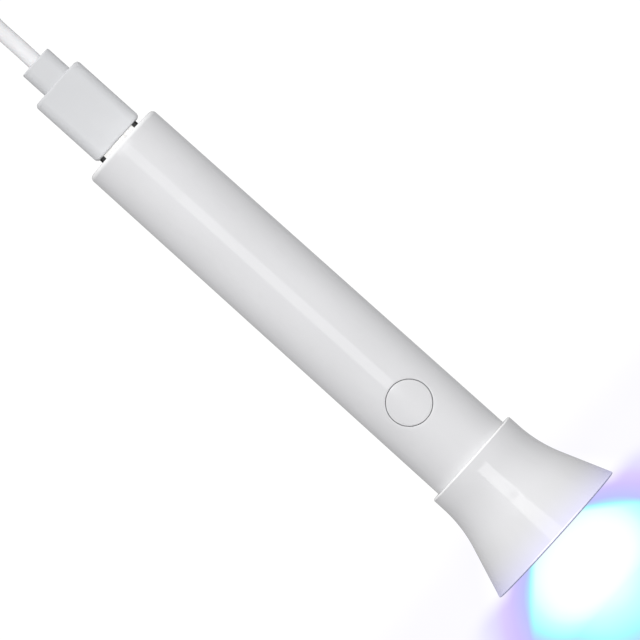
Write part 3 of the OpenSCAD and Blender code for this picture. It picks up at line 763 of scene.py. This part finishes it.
def button_disc():
    """The button: its face follows the tube, and its flange and stem are under the tube's wall."""
    solid = Solid()

    def ring(r, top):
        return circle(solid, around(FACE_COUNT) if r else [0], r, top)

    face_r = CAP_R - BUTTON_EDGE
    rings = [ring(face_r * i / FACE_RINGS, tube_top) for i in range(FACE_RINGS + 1)]
    for a in EASE_TURNS:
        reach = face_r + BUTTON_EDGE * math.sin(math.radians(a))
        sink = BUTTON_EDGE * (1 - math.cos(math.radians(a)))
        rings.append(ring(reach, lambda x, y: tube_top(x, y) - sink))
    steps = [
        (CAP_R, BOSS_Z), (FLANGE_R, BOSS_Z), (FLANGE_R, FLANGE_Z),
        (STEM_R, FLANGE_Z), (STEM_R, STEM_Z), (0, STEM_Z),
    ]
    for r, z in steps:
        rings.append(ring(r, lambda x, y: z))
    solid.bands(rings)
    add_piece("button_disc", solid, button_plastic(), LAMP, "button", "white_button", ["button_cap"])


# ---- light source

REFLECTOR_R, REFLECTOR_T, REFLECTOR_STEP = (9.6, 16.3), 0.8, 0.7
REFLECTOR_STEPS, REFLECTOR_BOW, REFLECTOR_ENDS = 28, 0.4, 0.09
LIP_GAP, FOOT_GAP, FOOT_SHARE = 0.05, 0.1, 0.08
LED_COUNT, LED_RING_R, LED_SIDE, LED_T = 6, 5.4, 3.5, 0.8
DOME_R, DOME_START, SKIRT_OUT, SKIRT_T, SKIRT_EASE = 1.25, 83, 0.2, 0.06, 0.08
WINDOW_GAP, WINDOW_EDGE = 0.1, 0.15
SOLDER_SIZE, SOLDER_OUT = (0.5, 2.6, 0.35), 0.1


def reflector_bowl():
    """The reflector: a bowl with a step at its foot and at its lip."""
    low, high = WINDOW_X[1], REFLECTOR_X[1]

    def bright(t):
        rise = (1 + REFLECTOR_BOW) * t - REFLECTOR_BOW * t * t
        return REFLECTOR_R[0] + (REFLECTOR_R[1] - REFLECTOR_R[0]) * rise

    shares = [i / REFLECTOR_STEPS for i in range(REFLECTOR_STEPS + 1)]
    lip_r = cone_r(high - REFLECTOR_STEP) - SHELL_WALL - LIP_GAP
    foot_r = cone_r(low) - SHELL_WALL - FOOT_GAP
    profile = [(low + t * (high - low), bright(t)) for t in shares]
    profile += [(high, lip_r), (high - REFLECTOR_STEP, lip_r)]
    outside = [t for t in reversed(shares) if REFLECTOR_ENDS < t < 1 - REFLECTOR_ENDS]
    profile += [(low + t * (high - low), min(bright(t) + REFLECTOR_T, lip_r)) for t in outside]
    back = low + REFLECTOR_STEP
    profile += [(back, bright(FOOT_SHARE) + REFLECTOR_T), (back, foot_r), (low, foot_r)]
    coating, slot = reflector_coating(), "reflector_coating"
    add_piece("reflector_bowl", lathe(profile, 180), coating, LAMP, "lamp", slot, ["reflector"], sharp=50)


def window_disc():
    """The clear window in front of the LEDs, with its edges eased."""
    low, high = WINDOW_X
    r, ease = SEAT_R - WINDOW_GAP, WINDOW_EDGE
    profile = [(low, 0), (low, r - ease), (low + ease, r), (high - ease, r), (high, r - ease), (high, 0)]
    solid = lathe(profile)
    add_piece("window_disc", solid, clear_window(), LAMP, "lamp", "clear_window", ["lens_window"])


def led_places(x):
    """Local frames at the LEDs, X pointing forward and Y outward."""
    turns = around(LED_COUNT, 180 / LED_COUNT)
    return [Matrix.Rotation(a, 4, "X") @ Matrix.Translation((x, LED_RING_R, 0)) for a in turns]


def leds():
    """The LEDs: ceramic packages, silicone domes and the solder at two sides of each."""
    flat = Matrix.Rotation(math.pi / 2, 4, "Y")
    packages, domes, joints = Solid(), Solid(), Solid()
    for place in led_places(LED_X):
        middle = place @ Matrix.Translation((-LED_T / 2, 0, 0)) @ flat
        block(packages, middle, (LED_SIDE, LED_SIDE, LED_T), corner=0.25, edge=0.12)
        skirt_r = DOME_R + SKIRT_OUT
        skirt = [(0, 0), (0, skirt_r), (SKIRT_T, skirt_r), (SKIRT_T + SKIRT_EASE, DOME_R)]
        rise = arc(0, 0, DOME_R, DOME_START, 0, 14)[:-1]
        lathe(skirt + rise + [(DOME_R, 0)], 48, place, domes)
        for side in (-1, 1):
            aside = side * (LED_SIDE / 2 + SOLDER_OUT)
            offset = Matrix.Translation((-LED_T + SOLDER_SIZE[2] / 2, 0, aside))
            block(joints, place @ offset @ flat, SOLDER_SIZE, corner=0.12, edge=0.12)
    add_piece("led_packages", packages, lit_ceramic(), LAMP, "lamp", "led_ceramic", ["uv_leds"])
    add_piece("led_dome_lenses", domes, lit_silicone(), LAMP, "lamp", "led_silicone", ["led_domes"])
    solder = metal("solder", grey(0.8), 0.25, (1, 1, 1))
    add_piece("led_solder", joints, solder, LAMP, "lamp", "screw_steel")


# ---- lead

GRIP_ROUND, GRIP_EDGE, GRIP_SECTION = 0.9, 0.35, 2.4
GRIP_FRONT = 0.3  # the grip reaches this far past its CAD solid, toward the lamp
RELIEF_EDGE, THROAT_GAP = 0.35, 0.25
END_STEPS, SECTION_STEPS = 6, 8  # steps round a body's end and round the corners of its section
SHELL_ROUND, SHELL_METAL, SHELL_TIP = 0.55, 0.3, (0.15, 0.09)
LATCH_X, LATCH_Y = (6.4, 8.7), (1.75, 4.05)
SEAM = 0.09


def eased(x0, x1, across, up):
    """(x, inset across, inset up) stations of a body from x0 to x1 with its two ends rounded."""
    stations = []
    for i in range(END_STEPS + 1):
        a = math.radians(90 * i / END_STEPS)
        x = x0 + across * (1 - math.cos(a))
        rise = min((x - x0) / up, 1)
        stations.append((x, across * (1 - math.sin(a)), up * (1 - math.sqrt(1 - (1 - rise) ** 2))))
    return stations + [(x1 - (x - x0), u, v) for x, u, v in reversed(stations)]


def plug_grip(name, place, node):
    """The plug's moulded grip, with a pocket in its front for the metal shell."""
    solid = Solid()
    rings = []
    for x, inset_y, inset_z in eased(-GRIP_LEN, GRIP_FRONT, GRIP_ROUND, GRIP_EDGE):
        width, height = GRIP_W - 2 * inset_y, GRIP_T - 2 * inset_z
        outline = rounded_rect(width, height, GRIP_SECTION - (inset_y + inset_z) / 2, SECTION_STEPS)
        rings.append(solid.section(x, outline, GRIP_SIDE))
    pocket = rounded_rect(SHELL_W, SHELL_T, SHELL_ROUND, SECTION_STEPS)
    rings += [solid.section(x, pocket) for x in (GRIP_FRONT, SHELL_X[0])]
    solid.bar(rings)
    return add_piece(name, solid, grip_plastic(), place, "usb_lead", "grip_grey", [node])


def strain_sleeve(name, place, node):
    """The collar behind the grip, with a throat round the cord."""
    throat_r = CORD_R + THROAT_GAP
    throat = rounded_rect(2 * throat_r, 2 * throat_r, throat_r - 0.01, SECTION_STEPS)
    sections = [(x, throat) for x in (RELIEF_X + RELIEF_EDGE, RELIEF_X)]
    for x, inset, _ in eased(RELIEF_X, -GRIP_LEN, RELIEF_EDGE, RELIEF_EDGE)[:END_STEPS + 1]:
        width, height = RELIEF_W - 2 * inset, RELIEF_T - 2 * inset
        sections.append((x, rounded_rect(width, height, GRIP_SECTION - inset, SECTION_STEPS)))
    sections.append((-GRIP_LEN, rounded_rect(RELIEF_W, RELIEF_T, GRIP_SECTION, SECTION_STEPS)))
    solid = Solid()
    solid.bar([solid.section(x, outline, RELIEF_SIDE) for x, outline in sections])
    return add_piece(name, solid, grip_plastic(), place, "usb_lead", "grip_grey", [node])


def shell_outline(inset, seam):
    """Outline of the plug's metal shell, with points at the latch holes' edges and a seam below."""
    w, h = SHELL_W / 2 - inset, SHELL_T / 2 - inset
    r = SHELL_ROUND - inset
    holes = [y for edge in LATCH_Y for y in (edge, -edge)]
    stops = sorted(holes + [-SEAM, 0, SEAM])
    top = [(y, h) for y in stops]
    right = arc(w - r, h - r, r, 90, 0, 5) + arc(w - r, r - h, r, 0, -90, 5)
    bottom = [(y, -h + (seam if y == 0 else 0)) for y in reversed(stops)]
    left = arc(r - w, r - h, r, -90, -180, 5) + arc(r - w, h - r, r, 180, 90, 5)
    return top + right + bottom + left


# Where the plating is painted near black, in mm out from the axis and along it.
PAINTED_REFLECTION_Y, PAINTED_REFLECTION_X = (4.55, 4.75), (1.6, 2.2)


def plug_plating_painted_reflection():
    """Bright plating, with a painted dark reflection on its sides beside the grip."""
    s = lined_metal("plug_plating_painted_reflection", grey(0.8, (1, 0.99, 0.97)), 0.24)
    # Painted reflection: the sides near the grip are near black, as if mirroring dark surroundings.
    beside = s.span(s.math("ABSOLUTE", s.part(s.place, 1)), *PAINTED_REFLECTION_Y)
    near_grip = s.span(s.part(s.place, 0), *PAINTED_REFLECTION_X, 1, 0)
    dark = s.math("MULTIPLY", beside, near_grip)
    return s.use(Base_Color=s.mix(dark, s.tone(), grey(0.04)))


def plug_shell(name, place, node):
    """The plug's folded metal shell: a tube with four latch holes and a seam along its underside."""
    solid = Solid()
    tip_x, tip_inset = SHELL_TIP
    stations = [(x, 0) for x in (SHELL_X[0], *LATCH_X, SHELL_X[1] - tip_x)] + [(SHELL_X[1], tip_inset)]
    outer = [solid.section(x, shell_outline(ease, SEAM)) for x, ease in stations]
    inner = [solid.section(x, shell_outline(SHELL_METAL - ease, 0)) for x, ease in stations]
    size = len(outer[0])
    plan = shell_outline(0, 0)

    def is_hole(i, k):
        (y0, z0), (y1, z1) = plan[k], plan[(k + 1) % size]
        flat = z0 == z1 and abs(z0) > SHELL_T / 2 - 0.01
        return i == 1 and flat and {abs(y0), abs(y1)} == set(LATCH_Y)

    for i in range(len(stations) - 1):
        for k in range(size):
            j = (k + 1) % size
            if not is_hole(i, k):
                solid.faces.append([outer[i][k], outer[i][j], outer[i + 1][j], outer[i + 1][k]])
                solid.faces.append([inner[i][k], inner[i + 1][k], inner[i + 1][j], inner[i][j]])
                continue
            loop = [(i, k), (i, j), (i + 1, j), (i + 1, k)]
            for (a, b), (c, d) in zip(loop, loop[1:] + loop[:1]):
                solid.faces.append([outer[a][b], outer[c][d], inner[c][d], inner[a][b]])
    solid.band(outer[0], inner[0])
    solid.band(outer[-1], inner[-1])
    return add_piece(name, solid, plug_plating_painted_reflection(), place, "usb_lead", "plug_steel", [node], sharp=30)


# The cord's route in the row frame. Its points and the coil are those of the CAD source.
CORD_R = 1.9
CORD_INSET = 0.3
RUN_POINTS = [
    (-96, 0.8, 8.5), (-100, 0.8, 8.3), (-104, 0.8, 8.3), (-107.5, 1.1, 8.5), (-111, 2.1, 8.9),
    (-114.5, 3.8, 9.1), (-117.7, 6, 8.9),
]
COIL_MIDDLE, COIL_R = (-135, -9), 20.5
TURN_PITCH = 3.85
LAYER_H = TURN_PITCH * math.sin(math.radians(60))
TURN_PLACES = [(0.5, 2), (1, 1), (0, 1), (-1, 1), (-1.5, 0), (-0.5, 0), (0.5, 0), (1.5, 0)]
COIL_START, TURN_SPAN, TURN_HOLD, COIL_STEP = 50, 320, 280, 10
TAIL_POINTS = [
    (-139, 17.3, 1.9), (-143, 17.3, 1.9), (-147, 17.3, 1.9), (-151, 17.3, 1.9), (-155, 17.2, 1.9),
    (-159, 16.7, 1.9), (-163, 15.1, 1.9), (-166.1, 12.5, 2.1), (-168.3, 9.2, 2.6), (-169.7, 5.6, 3.2),
    (-170.2, 2.8, 3.5),
]
CORD_START = PLUG @ (Vector((RELIEF_X + CORD_INSET, RELIEF_SIDE, 0)) * MM)
CORD_END = FAR_PLUG @ (Vector((RELIEF_X + CORD_INSET, RELIEF_SIDE, 0)) * MM)


def coil_point(wound):
    """Centre of the cord after it has wound so many degrees round the coil."""
    turn = min(int(wound // TURN_SPAN), len(TURN_PLACES) - 1)
    across, layer = TURN_PLACES[turn]
    late = wound - turn * TURN_SPAN - TURN_HOLD
    if late > 0 and turn + 1 < len(TURN_PLACES):
        t = late / (TURN_SPAN - TURN_HOLD)
        t = t * t * (3 - 2 * t)
        across += (TURN_PLACES[turn + 1][0] - across) * t
        layer += (TURN_PLACES[turn + 1][1] - layer) * t
    a = math.radians(COIL_START + wound)
    r = COIL_R + across * TURN_PITCH
    return (COIL_MIDDLE[0] + r * math.cos(a), COIL_MIDDLE[1] + r * math.sin(a), CORD_R + layer * LAYER_H)


def cord_curve():
    wound = range(0, TURN_SPAN * len(TURN_PLACES) + 1, COIL_STEP)
    route = [Vector(p) * MM for p in RUN_POINTS + [coil_point(a) for a in wound] + TAIL_POINTS]
    route = [CORD_START, *route, CORD_END]
    data = bpy.data.curves.new("usb_cord", "CURVE")
    data.dimensions = "3D"
    data.resolution_u = 4
    data.bevel_depth = CORD_R * MM
    data.bevel_resolution = 6
    data.use_fill_caps = True
    spline = data.splines.new("BEZIER")
    spline.bezier_points.add(len(route) - 1)
    for point, place in zip(spline.bezier_points, route):
        point.co = place
        point.handle_left_type = point.handle_right_type = "AUTO"
    data.materials.append(cord_jacket())
    cord = add_object("usb_cord", data, Matrix())
    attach(cord, "usb_lead")
    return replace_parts(cord, "cord_run", "cord_coil", "cord_tail")


# The strap, in degrees round the coil or round its bundle of turns, and in mm
TIE_AT, TIE_HALF, TIE_STEP = 215, 6, 6
TIE_T, TIE_GAP, TIE_LIFT, TIE_EASE = 0.6, 0.02, 0.3, 0.12
TAB_SPAN, TAB_WIDTH, TAB_T = (30, 150), 0.92, 0.5


def bundle_edge(turn, grow):
    """A point of the outline round the coil's turns, where its outside faces a direction, in degrees."""
    a = math.radians(turn)
    facing = Vector((math.cos(a), math.sin(a)))
    middles = [Vector((p * TURN_PITCH, CORD_R + layer * LAYER_H)) for p, layer in TURN_PLACES]
    return max(middles, key=facing.dot) + facing * (CORD_R + grow)


def coil_strap():
    """The strap that ties the coil, with its loose end lying over it."""
    solid = Solid()

    def at(angle, edge, low):
        a = math.radians(TIE_AT + angle)
        r = COIL_R + edge.x
        return (COIL_MIDDLE[0] + r * math.cos(a), COIL_MIDDLE[1] + r * math.sin(a), max(edge.y, low))

    def hoop(angle, grow, low):
        return solid.ring([at(angle, bundle_edge(turn, grow), low) for turn in range(0, 360, TIE_STEP)])

    angles = [TIE_HALF * i / 3 for i in range(-3, 4)]
    outer = [hoop(a, TIE_T, TIE_GAP) for a in angles]
    inner = [hoop(a, TIE_GAP, TIE_LIFT) for a in reversed(angles)]
    solid.bands(outer + inner, closed=True)
    half = TIE_HALF * TAB_WIDTH
    section = [(-half, TIE_T), (half, TIE_T), (half, TIE_T + TAB_T), (-half, TIE_T + TAB_T)]
    solid.bar([
        solid.ring([at(angle, bundle_edge(turn, grow), 0) for angle, grow in section])
        for turn in range(TAB_SPAN[0], TAB_SPAN[1] + 1, TIE_STEP)
    ])
    strap = add_piece("coil_strap", solid, tie_fabric(), Matrix(), "usb_lead", "tie_fabric", ["cord_tie"])
    ease = strap.modifiers.new("ease", "BEVEL")
    ease.width, ease.segments, ease.limit_method = TIE_EASE * MM, 2, "ANGLE"
    return strap


def lead():
    cord = cord_curve()
    on_it = [coil_strap()]
    for prefix, place in (("", PLUG), ("far_", FAR_PLUG)):
        on_it += [
            plug_grip(prefix + "grip_overmould", place, prefix + "plug_grip"),
            strain_sleeve(prefix + "strain_sleeve", place, prefix + "strain_relief"),
            plug_shell(prefix + "metal_shell", place, prefix + "plug_shell"),
            frame["nodes"][prefix + "plug_tongue"],
            frame["nodes"][prefix + "plug_contacts"],
        ]


# ---- CAD nodes that stay


def dress_inner_parts():
    """Materials of the nodes that stay as they are in the CAD model."""
    steel = metal("screw_steel", grey(0.62, (1, 0.99, 0.97)), 0.3, (1, 1, 1))
    socket_steel = metal("socket_steel", grey(0.66, (1, 1, 0.98)), 0.28)
    gold = metal("contact_gold", (0.95, 0.68, 0.28, 1), 0.2)
    aluminium = metal("sink_aluminium", grey(0.75), 0.3, (1, 0.15, 0.15))
    white_board = board_mask("led_board_white", grey(0.82), grey(0.74, (1, 0.98, 0.9)))
    green_board = board_mask("board_laminate", (0.02, 0.16, 0.07, 1), (0.04, 0.26, 0.11, 1))
    tongue = speckled("socket_plastic", grey(0.78), grey(0.84), 0.3, 0.4, 0.005)
    black = speckled("chip_black", grey(0.015), grey(0.04), 0.12, 0.55, 0.008)
    nodes = {
        "led_board": white_board,
        "led_board_screws": steel,
        "thermal_pad": speckled("thermal_pad", (0.3, 0.42, 0.5, 1), (0.4, 0.52, 0.6, 1), 0.15, 0.7, 0.02),
        "heat_sink": aluminium,
        "driver_board": green_board,
        "driver_inductor": speckled("ferrite", grey(0.05), grey(0.09), 0.2, 0.65, 0.02),
        "driver_chips": black,
        "driver_capacitors": metal("can_aluminium", grey(0.78), 0.25, (1, 1, 0.1)),
        "driver_resistors": black,
        "led_lead_red": speckled("lead_red", (0.55, 0.02, 0.02, 1), (0.7, 0.04, 0.03, 1), 0.4, 0.4, 0.006),
        "led_lead_black": speckled("lead_black", grey(0.015), grey(0.03), 0.4, 0.4, 0.006),
        "usb_socket_shell": socket_steel,
        "usb_socket_tongue": tongue,
        "usb_socket_contacts": gold,
        "tact_switch": speckled("switch_black", grey(0.02), grey(0.04), 0.2, 0.5),
        "tact_plunger": speckled("switch_grey", grey(0.3), grey(0.38), 0.2, 0.45),
        "plug_tongue": tongue,
        "far_plug_tongue": tongue,
        "plug_contacts": gold,
        "far_plug_contacts": gold,
    }
    for name, material in nodes.items():
        node = frame["nodes"][name]
        node.data.materials.clear()
        node.data.materials.append(material)


# ---- light and floor

SURROUND = 0.465
KEY_AWAY, KEY_LEAN, KEY_LEVEL, KEY_SIZE = 1500, 26, 0.64, 1200
BACK_LIFT, BACK_WIDTH, BACK_LEVEL = 12, 20, 0.2  # the first two in degrees
# Strips of light seen in the gloss, in mm in the lamp's frame, where along is a span of X
STRIPS = {
    "tail_strip": {"along": (0.2, 18), "half_width": 4.5, "radiance": 1.2},
    "tube_strip": {"along": (18, 84), "half_width": 4.4, "radiance": 1.75},
    "plug_strip": {"along": (-13, 0), "half_width": 26, "radiance": 1.5, "height": 60},
    "head_strip": {"along": (-330, -240), "half_width": 118, "radiance": 2.45, "height": 500, "aside": 14},
    "collar_strip": {"along": (109, 111.1), "half_width": 4.3, "radiance": 2.7, "aside": 0.9},
}
FLOOR_HALF = 20  # in metres


def add_light(name, kind, place, power, **settings):
    data = bpy.data.lights.new(name, kind)
    data.energy = power
    for key, value in settings.items():
        setattr(data, key, value)
    light = add_object(name, data, place)
    light.visible_camera = False
    return light


def add_strip(name, along, half_width, radiance, height=25, aside=0.25):
    """A strip of light above the lamp, along it, that shows only in the gloss."""
    place = LAMP @ Matrix.Translation(Vector((sum(along) / 2, aside, height)) * MM)
    length, width = (along[1] - along[0]) * MM, 2 * half_width * MM
    size = {"shape": "RECTANGLE", "size": length, "size_y": width}
    strip = add_light(name, "AREA", place, radiance * math.pi * length * width, **size)
    strip.visible_diffuse = False
    strip.visible_transmission = False


def aimed(lean, away):
    """A light's matrix, aimed at the lamp's middle from over its tail, lean degrees off the vertical."""
    a = math.radians(lean)
    toward = LAMP.to_3x3() @ Vector((-math.sin(a), 0, math.cos(a)))
    turn = toward.to_track_quat("Z", "Y").to_matrix().to_4x4()
    return Matrix.Translation(LAMP @ (Vector((AIM[0], 0, 0)) * MM) + toward * away * MM) @ turn


def studio():
    """A large soft light over the tail, a low one behind it, strips for the highlights, a pale surround."""
    key_power = KEY_LEVEL * math.pi * math.pi * (KEY_AWAY * MM) ** 2
    key = add_light(
        "softbox", "AREA", aimed(KEY_LEAN, KEY_AWAY), key_power, shape="DISK", size=KEY_SIZE * MM
    )
    back_place = aimed(90 - BACK_LIFT, KEY_AWAY)
    back = add_light("back_light", "SUN", back_place, BACK_LEVEL * math.pi, angle=math.radians(BACK_WIDTH))
    key.visible_glossy = back.visible_glossy = False
    for name, strip in STRIPS.items():
        add_strip(name, **strip)
    world = bpy.data.worlds.new("surround")
    world.use_nodes = True
    nodes, links = world.node_tree.nodes, world.node_tree.links
    seen = nodes.new("ShaderNodeLightPath").outputs["Is Camera Ray"]
    shade = nodes.new("ShaderNodeMix")
    shade.data_type = "RGBA"
    shade.inputs[6].default_value = grey(SURROUND, (1, 1, 1.01))
    shade.inputs[7].default_value = grey(1.0)
    links.new(seen, shade.inputs[0])
    links.new(shade.outputs[2], nodes["Background"].inputs["Color"])
    bpy.context.scene.world = world
    bpy.context.scene.view_settings.view_transform = "Standard"


def add_floor():
    """The floor, which shows to the camera only and lights nothing."""
    mesh = bpy.data.meshes.new("floor")
    corners = [(x * FLOOR_HALF, y * FLOOR_HALF, 0) for x, y in ((-1, -1), (1, -1), (1, 1), (-1, 1))]
    mesh.from_pydata(corners, [], [range(4)])
    mesh.materials.append(floor_glow())
    floor = add_object("floor", mesh, Matrix())
    floor.visible_diffuse = floor.visible_glossy = False


add_camera()
lead()
tube_shell()
head_shell()
button_disc()
reflector_bowl()
window_disc()
leds()
dress_inner_parts()
add_floor()
studio()
